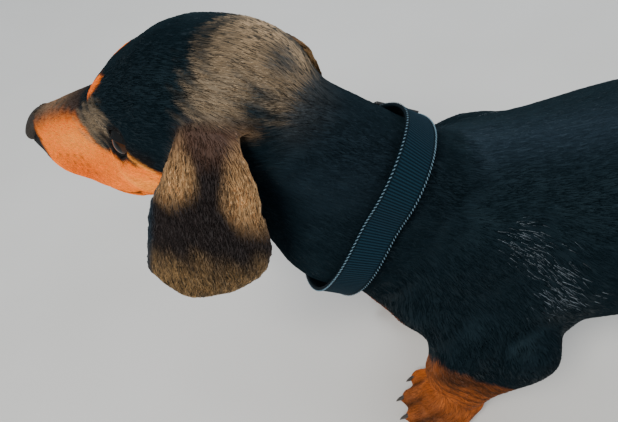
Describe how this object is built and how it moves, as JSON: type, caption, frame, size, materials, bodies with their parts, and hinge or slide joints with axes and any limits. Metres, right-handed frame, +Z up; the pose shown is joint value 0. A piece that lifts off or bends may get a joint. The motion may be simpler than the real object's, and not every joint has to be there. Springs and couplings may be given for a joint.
{
  "type": "dachshund",
  "caption": "Life-size standing smooth-haired dachshund, head turned to its right, wearing a webbing collar with a buckle and a lead ring.",
  "frame": {"origin": "on the floor, under the middle of the bounding box of the whole dog", "axes": "+Z up; -X towards the nose end, +X towards the tail; -Y is the dog's left, +Y its right"},
  "size_m": [0.8152, 0.18, 0.3198],
  "materials": {
    "coat_black": "short, flat, glossy black hair",
    "coat_tan": "short tan hair",
    "nose_leather": "moist, finely pebbled",
    "eye": "wet gloss",
    "webbing": "ribbed woven nylon",
    "buckle_plastic": "moulded, satin",
    "ring_steel": "polished"
  },
  "bodies": {
    "root": {"head": "coat_black", "nose": "nose_leather", "neck": "coat_black", "torso": "coat_black", "tail": "coat_black", "eye_left": "eye", "eye_right": "eye", "ear_left": "coat_black", "ear_right": "coat_black", "foreleg_left": "coat_tan", "foreleg_right": "coat_tan", "hindleg_left": "coat_tan", "hindleg_right": "coat_tan", "collar_band": "webbing", "collar_keeper": "webbing", "collar_buckle": "buckle_plastic", "collar_slide": "buckle_plastic", "collar_ring": "ring_steel"}
  },
  "joints": []
}
